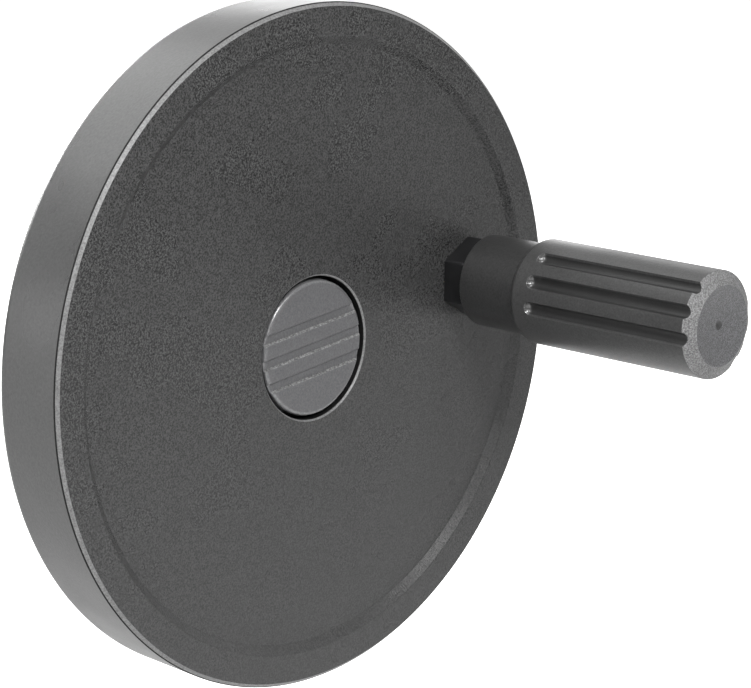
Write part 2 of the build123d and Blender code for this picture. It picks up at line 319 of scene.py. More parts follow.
class NodeBench:
    """Small helper that adds and links shader nodes of one material."""

    def __init__(self, name: str) -> None:
        """Starts a material with a shader and object coordinates.

        Args:
            name: name of the material.
        """
        self.material = bpy.data.materials.new(name)
        self.material.use_nodes = True
        self.tree = self.material.node_tree
        self.tree.nodes.clear()
        self.output = self.add("ShaderNodeOutputMaterial")
        self.shader = self.add("ShaderNodeBsdfPrincipled")
        self.link(self.shader.outputs["BSDF"], self.output.inputs["Surface"])
        self.place = self.add("ShaderNodeTexCoord").outputs["Object"]

    def add(self, kind: str, **settings: object) -> bpy.types.Node:
        """Adds a node.

        Args:
            kind: its type name.
            settings: values for its plain properties.

        Returns:
            The node.
        """
        node = self.tree.nodes.new(kind)
        for key, value in settings.items():
            setattr(node, key, value)
        return node

    def link(self, source: Socket, target: Socket) -> None:
        """Links one socket to another."""
        self.tree.links.new(source, target)

    def noise(
        self, scale: float, detail: float, roughness: float = 0.5, stretch: Optional[Triple] = None
    ) -> Socket:
        """Adds a noise pattern on object coordinates.

        Args:
            scale: how many features fit in a metre.
            detail: how many finer layers it has.
            roughness: how strong the finer layers are.
            stretch: scale along each axis, for a drawn-out pattern.

        Returns:
            The pattern's grey output.
        """
        mapping = self.add("ShaderNodeMapping")
        if stretch is None:
            mapping.inputs["Rotation"].default_value = GRAIN_TURN
        else:
            mapping.inputs["Scale"].default_value = stretch
        self.link(self.place, mapping.inputs["Vector"])
        pattern = self.add("ShaderNodeTexNoise")
        pattern.inputs["Scale"].default_value = scale
        pattern.inputs["Detail"].default_value = detail
        pattern.inputs["Roughness"].default_value = roughness
        self.link(mapping.outputs["Vector"], pattern.inputs["Vector"])
        return pattern.outputs["Fac"]

    def painted_rake_weakening(self, source: Socket, share: float) -> Socket:
        """Weakens a pattern towards middle grey from the wheel's upper left to its lower right, which
        paints the fall-off of raking light from the upper left.

        Args:
            source: the pattern's grey value.
            share: how much weaker it is at the lower right.

        Returns:
            The faded grey value.
        """
        along = self.add("ShaderNodeVectorMath", operation="DOT_PRODUCT")
        self.link(self.place, along.inputs[0])
        along.inputs[1].default_value = PAINTED_RAKE_ALONG
        strength = self.spread(along.outputs["Value"], 1.0, 1.0 - share, *PAINTED_RAKE_REACH)
        centred = self.add("ShaderNodeMath", operation="SUBTRACT")
        self.link(source, centred.inputs[0])
        centred.inputs[1].default_value = PAINTED_RAKE_GREY
        node = self.add("ShaderNodeMath", operation="MULTIPLY_ADD")
        self.link(centred.outputs[0], node.inputs[0])
        self.link(strength, node.inputs[1])
        node.inputs[2].default_value = PAINTED_RAKE_GREY
        return node.outputs[0]

    def spread(
        self, source: Socket, low: float, high: float, start: float = 0.0, end: float = 1.0
    ) -> Socket:
        """Maps a grey value to another range and holds it there beyond the ends.

        Args:
            source: the grey value.
            low: result at the start.
            high: result at the end.
            start: grey value at which the result is low.
            end: grey value at which it is high.

        Returns:
            The mapped value.
        """
        node = self.add("ShaderNodeMapRange")
        node.inputs["From Min"].default_value = start
        node.inputs["From Max"].default_value = end
        node.inputs["To Min"].default_value = low
        node.inputs["To Max"].default_value = high
        self.link(source, node.inputs["Value"])
        return node.outputs["Result"]

    def sum_of(self, first: Socket, second: Socket, weight: float) -> Socket:
        """Adds two grey values.

        Args:
            first: one value.
            second: the other value.
            weight: how much of the other one is added.

        Returns:
            The sum.
        """
        node = self.add("ShaderNodeMath", operation="MULTIPLY_ADD")
        self.link(second, node.inputs[0])
        node.inputs[1].default_value = weight
        self.link(first, node.inputs[2])
        return node.outputs[0]

    def tint(self, source: Socket, dark: Sequence[float], light: Sequence[float]) -> Socket:
        """Mixes two colours by a grey value.

        Args:
            source: the grey value.
            dark: colour at 0.
            light: colour at 1.

        Returns:
            The mixed colour.
        """
        node = self.add("ShaderNodeMix", data_type="RGBA")
        colour_a = [s for s in node.inputs if s.name == "A" and s.type == "RGBA"][0]
        colour_b = [s for s in node.inputs if s.name == "B" and s.type == "RGBA"][0]
        colour_a.default_value = (*dark, 1.0)
        colour_b.default_value = (*light, 1.0)
        self.link(source, node.inputs["Factor"])
        return [s for s in node.outputs if s.type == "RGBA"][0]

    def colour(self, shade: Socket, dark: Triple, light: Triple) -> None:
        """Colours the surface between two colours by a grey value."""
        self.link(self.tint(shade, dark, light), self.shader.inputs["Base Color"])

    def matt(self, source: Socket, roughness: float, change: Point, greys: Point = (0.0, 1.0)) -> None:
        """Varies the roughness by a grey value.

        Args:
            source: the grey value.
            roughness: how matt the surface is on the whole.
            change: the least and the most that is added to that.
            greys: the grey values at which they are.
        """
        low, high = roughness + change[0], roughness + change[1]
        self.link(self.spread(source, low, high, *greys), self.shader.inputs["Roughness"])

    def bump(self, height: Socket, depth: float) -> None:
        """Raises the surface by a grey value.

        Args:
            height: the grey value.
            depth: how high it is raised where the value is 1.
        """
        node = self.add("ShaderNodeBump")
        node.inputs["Distance"].default_value = depth * MM
        node.inputs["Strength"].default_value = 1.0
        self.link(height, node.inputs["Height"])
        self.link(node.outputs["Normal"], self.shader.inputs["Normal"])


@dataclass(frozen=True)
class Finish:
    """What every finish has.

    Args:
        name: name of the material.
        dark: colour in the pits, between torn grains, or in turning marks.
        light: colour of the rest.
        roughness: how matt it is on the whole.
    """

    name: str
    dark: Triple
    light: Triple
    roughness: float


@dataclass(frozen=True)
class MouldedFinish(Finish):
    """Dark moulded plastic with an eroded grain.

    Args:
        grain: size of one grain.
        grain_depth: depth of the grain.
        span: how far from the middle grey the grain reaches both full colours; less is harsher.
        specular: how strong its gloss is.
        painted_rake_fade: how much weaker the grain is at the wheel's lower right: painted light, for
            raking light from the upper left that falls off there.
        patches: how many duller and glossier patches fit in a metre.
        change: how much the roughness changes from the glossiest patch to the dullest.
    """

    grain: float
    grain_depth: float
    span: float = 0.25
    specular: float = 0.5
    painted_rake_fade: float = 0.0
    patches: float = 45.0
    change: Point = (-0.05, 0.07)

    def build(self) -> Material:
        """Builds the node material.

        Returns:
            The material.
        """
        bench = NodeBench(self.name)
        grains = bench.noise(1.0 / (self.grain * MM), detail=2.0, roughness=0.6)
        broad = bench.noise(self.patches, detail=3.0)
        shade = bench.spread(grains, 0.0, 1.0, 0.5 - self.span, 0.5 + self.span)
        # painted light: the grain's contrast weakens towards the wheel's lower right, as raking light from
        # the upper left falls off
        if self.painted_rake_fade > 0:
            shade = bench.painted_rake_weakening(shade, self.painted_rake_fade)
        bench.colour(shade, self.dark, self.light)
        bench.matt(broad, self.roughness, self.change, PATCH_GREYS)
        bench.shader.inputs["Specular IOR Level"].default_value = self.specular
        bench.bump(grains, self.grain_depth)
        return bench.material


@dataclass(frozen=True)
class TurnedFinish(Finish):
    """A face cut on a lathe in dark plastic: lighter, with broken-out grain.

    Args:
        grain: size of one grain.
        grain_depth: depth of the grain.
        specular: how strong its gloss is.
        change: how much the roughness changes from the pits to the tops.
    """

    grain: float
    grain_depth: float
    specular: float = 0.5
    change: Point = (-0.12, 0.15)

    def build(self) -> Material:
        """Builds the node material.

        Returns:
            The material.
        """
        bench = NodeBench(self.name)
        grains = bench.noise(1.0 / (self.grain * MM), detail=3.0, roughness=0.65)
        bench.colour(bench.spread(grains, 0.0, 1.0, *TORN_GREYS), self.dark, self.light)
        bench.matt(grains, self.roughness, self.change)
        bench.shader.inputs["Specular IOR Level"].default_value = self.specular
        bench.bump(grains, self.grain_depth)
        return bench.material


@dataclass(frozen=True)
class MetalFinish(Finish):
    """Turned metal, bright or blackened.

    Args:
        metallic: how metallic it is; blackened steel is less so.
        mark_depth: depth of the turning marks.
        marks: how many marks fit in a metre, before they are drawn out.
        patches: how many duller and glossier patches fit in a metre.
        change: how much the roughness changes from the glossiest patch to the dullest.
    """

    metallic: float
    mark_depth: float = 0.006
    marks: float = 400.0
    patches: float = 160.0
    change: Point = (-0.06, 0.08)

    def build(self) -> Material:
        """Builds the node material.

        Returns:
            The material.
        """
        bench = NodeBench(self.name)
        marks = bench.noise(self.marks, detail=4.0, roughness=0.6, stretch=MARK_STRETCH)
        patches = bench.noise(self.patches, detail=3.0)
        mixed = bench.sum_of(marks, patches, 0.5)
        bench.colour(bench.spread(mixed, 0.0, 1.0, *MARK_GREYS), self.dark, self.light)
        bench.matt(patches, self.roughness, self.change, PATCH_GREYS)
        bench.shader.inputs["Metallic"].default_value = self.metallic
        bench.bump(marks, self.mark_depth)
        return bench.material


def tone(level: float, blue: Optional[float] = None) -> Triple:
    """A grey, with a blue part of its own where it isn't quite neutral."""
    return (level, level, level if blue is None else blue)


WHEEL_FINISHES = {
    # the grained face's fade paints raking light from the upper left as stronger grain contrast there
    WheelZone.GRAINED: MouldedFinish(
        "wheel_moulding", tone(0.003), tone(0.087), 0.27, 0.42, grain_depth=0.08, span=0.125, painted_rake_fade=0.62
    ),
    WheelZone.PLAIN: MouldedFinish("wheel_side", tone(0.035), tone(0.059), 0.30, 0.60, grain_depth=0.03),
    # painted highlight: the rim's front chamfer and the pocket's chamfer are lighter, where light catches
    # the edges
    WheelZone.EDGE: MouldedFinish("wheel_edge_painted_highlight", tone(0.09), tone(0.25), 0.4, 0.45, grain_depth=0.03),
    # painted shade on the pocket's wall, and the thin darker line along the rim chamfer's outer edge
    WheelZone.DARK: MouldedFinish(
        "wheel_painted_shade_and_dark_line", tone(0.010), tone(0.018), 0.5, 0.60, grain_depth=0.02, specular=0.1
    ),
}
BUSH_FINISHES = {
    BushZone.OUTSIDE: MetalFinish("bush_steel", tone(0.05, 0.052), tone(0.10, 0.105), 0.38, metallic=0.9),
    BushZone.BORE: MetalFinish("bore_steel", tone(0.42, 0.43), tone(0.55, 0.56), 0.28, metallic=1.0),
}
CAP_FINISHES = {
    CapZone.FACE: MouldedFinish(
        "cap_moulding", tone(0.082, 0.085), tone(0.148, 0.153), 0.40, 0.45, grain_depth=0.05
    ),
    # painted light: the groove walls that look up are lighter, as if lit from above
    CapZone.GROOVE: TurnedFinish("cap_groove_wall_painted_light", tone(0.07), tone(0.32), 0.6, 0.5, grain_depth=0.10),
    # glossier rounding round the cap's face, with a painted highlight in its lighter colour
    CapZone.EDGE: MouldedFinish(
        "cap_edge_gloss_and_painted_highlight", tone(0.10, 0.103), tone(0.18, 0.185), 0.20, 0.5, grain_depth=0.03, specular=1.0
    ),
}
GRIP_FINISHES = {
    GripZone.SLEEVE: MouldedFinish("grip_moulding", tone(0.024), tone(0.058), 0.36, 0.45, grain_depth=0.03),
    GripZone.CHAMFER: TurnedFinish(
        "grip_turned_edge", tone(0.08), tone(0.300, 0.302), 0.45, 0.38, grain_depth=0.12
    ),
    GripZone.DISH: TurnedFinish(
        "grip_dished_end", tone(0.044, 0.047), tone(0.165, 0.172), 0.20, 0.30, 0.10, specular=1.0
    ),
    # painted shade: the flutes are darker, as shade in the grooves
    GripZone.FLUTE: MouldedFinish("grip_flutes_painted_shade", tone(0.008), tone(0.017), 0.4, 0.38, grain_depth=0.03),
    # painted shade: the neck next to the disc is darker, where the disc shades it
    GripZone.NECK: MouldedFinish("grip_neck_painted_shade", tone(0.014), tone(0.034), 0.36, 0.50, grain_depth=0.03),
    GripZone.FLUTE_END: MouldedFinish(
        "grip_flute_ends", tone(0.03), tone(0.07), 0.15, 0.5, grain_depth=0.03, specular=1.0
    ),
}
SPINDLE_FINISH = MetalFinish("spindle_steel", tone(0.010, 0.011), tone(0.022, 0.023), 0.42, metallic=0.6)
HIDDEN_FINISHES = {
    "grip_insert": MetalFinish("insert_brass", (0.50, 0.36, 0.14), (0.68, 0.52, 0.24), 0.35, metallic=1.0),
    "retaining_ring": MetalFinish("spring_steel", tone(0.22, 0.23), tone(0.34, 0.36), 0.30, metallic=1.0),
}


@dataclass
class WheelMoulding:
    """The moulded wheel: disc, rim, recess, cap pocket, hub, ribs and the boss under the grip."""

    rim_radius: float = 80.0
    rim_height: float = 38.0
    rim_depth: float = 20.0
    rim_draft: float = 2.0
    rim_wall: float = 4.5
    rim_inner_draft: float = 3.0
    rim_front_chamfer: float = 1.0
    rim_back_rounding: float = 2.0
    rim_softness: float = 0.12  # rounding of the front chamfer's edges
    end_rounding: float = 1.0  # of the hub's end and the rim's inner edge
    recess_radius: float = 72.3
    recess_slope: float = 2.1
    recess_depth: float = 1.6
    recess_rounding: float = 0.5
    plate: float = 4.5
    root_rounding: float = 2.5
    hub_radius: float = 19.0
    hub_draft: float = 2.0
    hub_end: float = 0.5
    bush_radius: float = 12.0
    bush_front: float = 23.9
    clip_hole_radius: float = 13.1
    pocket_radius: float = 16.9
    ledge: float = 31.4
    pocket_chamfer: float = 0.4
    pocket_softness: float = 0.15
    bush_softness: float = 0.2
    # width of the thin darker line along the outer edge of the rim's front chamfer
    outer_dark_line: float = 0.28
    front_depth: float = 1.0  # how far behind the floor the grain still reaches
    rib_count: int = 6
    rib_thickness: float = 3.2
    rib_draft: float = 1.0
    rib_below_rim: float = 2.0
    rib_rise: float = 8.0
    rib_foot: float = 1.6
    rib_edge: float = 0.6
    rib_in_hub: float = 2.0
    rib_stations: int = 12
    foot_steps: int = 6
    edge_steps: int = 5
    grip_centre: Point = (53.335, 8.447)
    grip_angle: float = 9.0
    boss_radius: float = 12.06
    boss_draft: float = 1.5
    boss_end: float = 21.4
    boss_rounding: float = 0.8
    round_steps: int = 288
    boss_steps: int = 96
    sunk: float = 0.6  # how far ribs and boss reach into the disc
    proud: float = 0.02  # how far their feet stand in front of its back
    crease: float = 35.0
    rib_crease: float = 30.0

    @property
    def floor(self) -> float:
        """Height of the front recess's floor."""
        return self.rim_height - self.recess_depth

    @property
    def plate_back(self) -> float:
        """Height of the disc's rear face."""
        return self.floor - self.plate

    @property
    def rim_back(self) -> float:
        """Height of the rim's rear edge."""
        return self.rim_height - self.rim_depth

    @property
    def back_outer(self) -> float:
        """Outer radius at the rim's rear edge."""
        return self.rim_radius - drafted(self.rim_depth, self.rim_draft)

    @property
    def chamfer_outer(self) -> float:
        """Outer radius where the front chamfer meets the rim's wall."""
        return self.rim_radius - drafted(self.rim_front_chamfer, self.rim_draft)

    @property
    def chamfer_end(self) -> float:
        """Height where the front chamfer meets the rim's wall."""
        return self.rim_height - self.rim_front_chamfer

    @property
    def back_inner(self) -> float:
        """Inner radius at the rim's rear edge."""
        return self.back_outer - self.rim_wall

    @property
    def skirt_root(self) -> float:
        """Inner radius of the rim where it meets the disc."""
        return self.back_inner - drafted(self.plate_back - self.rim_back, self.rim_inner_draft)

    @property
    def hub_root(self) -> float:
        """Radius of the hub where it meets the disc."""
        return self.hub_radius + drafted(self.plate_back - self.hub_end, self.hub_draft)

    def section(self) -> list[Corner]:
        """Section of the turned form.

        Returns:
            Its corners, as a closed loop clear of the axis.
        """
        return [
            Corner(self.pocket_radius + self.pocket_chamfer, self.floor, self.pocket_softness),
            Corner(self.recess_radius - self.recess_slope, self.floor, self.recess_rounding),
            Corner(self.recess_radius, self.rim_height, self.recess_rounding),
            Corner(self.rim_radius - self.rim_front_chamfer, self.rim_height, self.rim_softness),
            Corner(self.rim_radius - self.outer_dark_line, self.chamfer_end + self.outer_dark_line),
            Corner(self.chamfer_outer, self.chamfer_end, self.rim_softness),
            Corner(self.back_outer, self.rim_back, self.rim_back_rounding),
            Corner(self.back_inner, self.rim_back, self.end_rounding),
            Corner(self.skirt_root, self.plate_back, self.root_rounding),
            Corner(self.hub_root, self.plate_back, self.root_rounding),
            Corner(self.hub_radius, self.hub_end, self.end_rounding),
            Corner(self.bush_radius, self.hub_end, self.bush_softness),
            Corner(self.bush_radius, self.bush_front),
            Corner(self.clip_hole_radius, self.bush_front),
            Corner(self.clip_hole_radius, self.ledge),
            Corner(self.pocket_radius, self.ledge),
            Corner(self.pocket_radius, self.floor - self.pocket_chamfer, self.pocket_softness),
        ]

    def turned_form(self) -> Mesh:
        """Turns the disc, rim and hub in one.

        Returns:
            The mesh, with each face's finish set.
        """
        rows = rounded_outline(self.section(), closed=True)
        mesh = turned_mesh("wheel_disc", rows, even_angles(self.round_steps), (0.0, 0.0), ring=True)
        smooth(mesh, self.crease)
        paint(mesh, self.zone)
        return mesh

    def zone(self, face: Face) -> WheelZone:
        """Tells which finish a face of the disc has.

        Args:
            face: the face.

        Returns:
            The zone of the wheel that it lies in.
        """
        reach, height = placed(face)
        # the rim's front chamfer: painted highlight, apart from a thin darker line along its outer edge
        if reach > self.rim_radius - self.rim_front_chamfer and height < self.rim_height - TOUCHING:
            if height < self.chamfer_end:
                return WheelZone.PLAIN
            return WheelZone.EDGE if reach < self.rim_radius - self.outer_dark_line else WheelZone.DARK
        in_pocket = reach < self.pocket_radius + self.pocket_chamfer + SLACK
        if in_pocket and self.ledge - SLACK < height < self.floor - SLIGHT:
            # painted shade: the pocket's wall below its chamfer is dark, as in the gap round the cap
            if height < self.floor - self.pocket_chamfer - SLACK:
                return WheelZone.DARK
            # the pocket's chamfer: painted highlight
            on_chamfer = BEVELLED[0] < -face.normal.y < BEVELLED[1]
            return WheelZone.EDGE if on_chamfer else WheelZone.GRAINED
        return WheelZone.PLAIN if height < self.floor - self.front_depth else WheelZone.GRAINED

    def rib_section(self, top: float) -> list[Point]:
        """Section across one rib, as distance to the side and height.

        Args:
            top: height of the rib's free edge at this place.

        Returns:
            The points from one foot over the free edge to the other foot.
        """
        root_half = self.rib_thickness / 2
        edge_half = root_half - drafted(self.plate_back - top, self.rib_draft)
        side: list[Point] = [(root_half + self.rib_foot, self.plate_back + self.sunk)]
        for step in range(self.foot_steps + 1):
            turn = math.pi / 2 * step / self.foot_steps
            side.append(
                (
                    root_half + self.rib_foot * (1 - math.sin(turn)),
                    self.plate_back + self.proud - self.rib_foot * (1 - math.cos(turn)),
                )
            )
        for step in range(self.edge_steps + 1):
            turn = math.pi / 2 * step / self.edge_steps
            side.append(
                (
                    edge_half - self.rib_edge * (1 - math.cos(turn)),
                    top + self.rib_edge * (1 - math.sin(turn)),
                )
            )
        return side + [(-across, height) for across, height in reversed(side)]

    def rib_mesh(self) -> Mesh:
        """Builds one rib along +X, from inside the hub to inside the rim.

        Returns:
            The rib's closed mesh.
        """
        start = self.hub_radius - self.rib_in_hub
        end = self.back_outer - self.rim_wall / 2
        hub_top = self.rim_back - self.rib_rise
        rim_top = self.rim_back + self.rib_below_rim
        stations = self.rib_stations
        vertices: list[Triple] = []
        for step in range(stations + 1):
            reach = start + (end - start) * step / stations
            share = (reach - self.hub_radius) / (self.back_inner - self.hub_radius)
            section = self.rib_section(hub_top + (rim_top - hub_top) * min(max(share, 0.0), 1.0))
            vertices += [(reach * MM, -height * MM, across * MM) for across, height in section]
        per_station = len(vertices) // (stations + 1)
        faces: list[tuple[int, ...]] = []
        for step in range(stations):
            for place in range(per_station):
                following = (place + 1) % per_station
                near, far = step * per_station, (step + 1) * per_station
                faces.append((near + place, near + following, far + following, far + place))
        faces.append(tuple(range(per_station)))
        faces.append(tuple(range(stations * per_station, (stations + 1) * per_station)))
        mesh = bpy.data.meshes.new("one_rib")
        mesh.from_pydata(vertices, [], faces)
        outward(mesh)
        smooth(mesh, self.rib_crease)
        return mesh

    def boss_form(self) -> Mesh:
        """Turns the boss behind the grip, with a flared foot on the disc.

        Returns:
            The boss's closed mesh.
        """
        root = self.boss_radius + drafted(self.plate_back - self.boss_end, self.boss_draft)
        corners = [
            Corner(0.0, self.plate_back + self.sunk),
            Corner(root + 2 * self.rib_foot, self.plate_back + self.sunk),
            Corner(root + 2 * self.rib_foot, self.plate_back + self.proud),
            Corner(root, self.plate_back + self.proud, self.rib_foot),
            Corner(self.boss_radius, self.boss_end, self.boss_rounding),
            Corner(0.0, self.boss_end),
        ]
        rows = rounded_outline(corners, closed=False)
        mesh = turned_mesh("boss", rows, even_angles(self.boss_steps), self.grip_centre, ring=False)
        smooth(mesh, self.crease)
        return mesh

    def build(self) -> list[Piece]:
        """Builds the wheel's moulding.

        Returns:
            The disc, the ribs and the boss.
        """
        finishes = [WHEEL_FINISHES[zone].build() for zone in WheelZone]
        plain = finishes[WheelZone.PLAIN.value]
        disc = new_piece("wheel_disc", self.turned_form(), finishes)
        boss = new_piece("grip_boss", self.boss_form(), [plain])
        pattern = AroundAxis(count=self.rib_count, first_angle=self.grip_angle, finish=plain)
        ribs = pattern.repeat("disc_ribs", self.rib_mesh())
        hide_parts("wheel_body")
        for piece in (disc, boss, ribs):
            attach(piece, Body.WHEEL.value)
        return [disc, ribs, boss]


@dataclass
class AroundAxis:
    """Repeats a mesh evenly round the wheel's axis with a node tree.

    Args:
        count: how many copies.
        first_angle: degrees from +X towards +Z of the first copy.
        finish: the material of the copies.
    """

    count: int
    first_angle: float
    finish: Material
    inputs: dict[str, str] = field(default_factory=dict)

    def tree(self) -> bpy.types.NodeTree:
        """Builds the node tree with its named inputs.

        Returns:
            The tree.
        """
        tree = bpy.data.node_groups.new("around_axis", "GeometryNodeTree")
        sockets = (
            ("Geometry", "NodeSocketGeometry"),
            ("Count", "NodeSocketInt"),
            ("First angle", "NodeSocketFloat"),
            ("Finish", "NodeSocketMaterial"),
        )
        for name, kind in sockets:
            made = tree.interface.new_socket(name, in_out="INPUT", socket_type=kind)
            self.inputs[name] = made.identifier
        tree.interface.new_socket("Geometry", in_out="OUTPUT", socket_type="NodeSocketGeometry")
        add = tree.nodes.new
        source = add("NodeGroupInput")
        target = add("NodeGroupOutput")
        points = add("GeometryNodeMeshLine")
        points.inputs["Offset"].default_value = (0.0, 0.0, 0.0)
        number = add("GeometryNodeInputIndex")
        step, turn, total = (add("ShaderNodeMath") for _ in range(3))
        step.operation, turn.operation, total.operation = "DIVIDE", "MULTIPLY", "SUBTRACT"
        step.inputs[0].default_value = -math.tau
        euler = add("ShaderNodeCombineXYZ")
        rotation = add("FunctionNodeEulerToRotation")
        copies = add("GeometryNodeInstanceOnPoints")
        realize = add("GeometryNodeRealizeInstances")
        dress = add("GeometryNodeSetMaterial")
        for start, leaving, end, entering in (
            (source, "Count", points, "Count"),
            (source, "Count", step, 1),
            (number, 0, turn, 0),
            (step, 0, turn, 1),
            (turn, 0, total, 0),
            (source, "First angle", total, 1),
            (total, 0, euler, "Y"),
            (euler, 0, rotation, 0),
            (points, 0, copies, "Points"),
            (source, "Geometry", copies, "Instance"),
            (rotation, 0, copies, "Rotation"),
            (copies, 0, realize, 0),
            (realize, 0, dress, "Geometry"),
            (source, "Finish", dress, "Material"),
            (dress, 0, target, 0),
        ):
            tree.links.new(start.outputs[leaving], end.inputs[entering])
        return tree

    def repeat(self, name: str, mesh: Mesh) -> Piece:
        """Repeats a mesh and returns the copies as one plain piece.

        Args:
            name: name of the piece.
            mesh: the mesh along +X that is repeated.

        Returns:
            The piece, with no modifier left on it.
        """
        carrier = bpy.data.objects.new(name + "_pattern", mesh)
        bpy.context.scene.collection.objects.link(carrier)
        modifier = carrier.modifiers.new("around_axis", "NODES")
        modifier.node_group = self.tree()
        modifier[self.inputs["Count"]] = self.count
        modifier[self.inputs["First angle"]] = math.radians(self.first_angle)
        modifier[self.inputs["Finish"]] = self.finish
        evaluated = carrier.evaluated_get(bpy.context.evaluated_depsgraph_get())
        result = bpy.data.meshes.new_from_object(evaluated)
        bpy.data.objects.remove(carrier)
        return new_piece(name, result, [self.finish])


@dataclass
class HubBush:
    """Steel bush in the hub, with the bore for the shaft."""

    outer_radius: float = 12.0
    bore_radius: float = 7.0
    chamfer: float = 0.6
    front: float = 23.9
    bore_softness: float = 0.08
    outer_softness: float = 0.25
    crease: float = 30.0
    round_steps: int = 144

    def section(self) -> list[Corner]:
        """Section of the bush.

        Returns:
            Its corners, as a closed loop clear of the axis.
        """
        return [
            Corner(self.bore_radius + self.chamfer, 0.0, self.bore_softness),
            Corner(self.outer_radius, 0.0, self.outer_softness),
            Corner(self.outer_radius, self.front),
            Corner(self.bore_radius + self.chamfer, self.front),
            Corner(self.bore_radius, self.front - self.chamfer),
            Corner(self.bore_radius, self.chamfer, self.bore_softness),
        ]

    def zone(self, face: Face) -> BushZone:
        """Tells whether a face is on the outside or in the reamed bore."""
        in_bore = placed(face)[0] < self.bore_radius + self.chamfer / 2
        return BushZone.BORE if in_bore else BushZone.OUTSIDE

    def build(self) -> list[Piece]:
        """Builds the bush.

        Returns:
            The bush alone.
        """
        rows = rounded_outline(self.section(), closed=True, arc_steps=4)
        mesh = turned_mesh("hub_bush_steel", rows, even_angles(self.round_steps), (0.0, 0.0), ring=True)
        smooth(mesh, self.crease)
        paint(mesh, self.zone)
        piece = new_piece("hub_bush_steel", mesh, [BUSH_FINISHES[zone].build() for zone in BushZone])
        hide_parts("hub_bush")
        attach(piece, Body.WHEEL.value)
        return [piece]


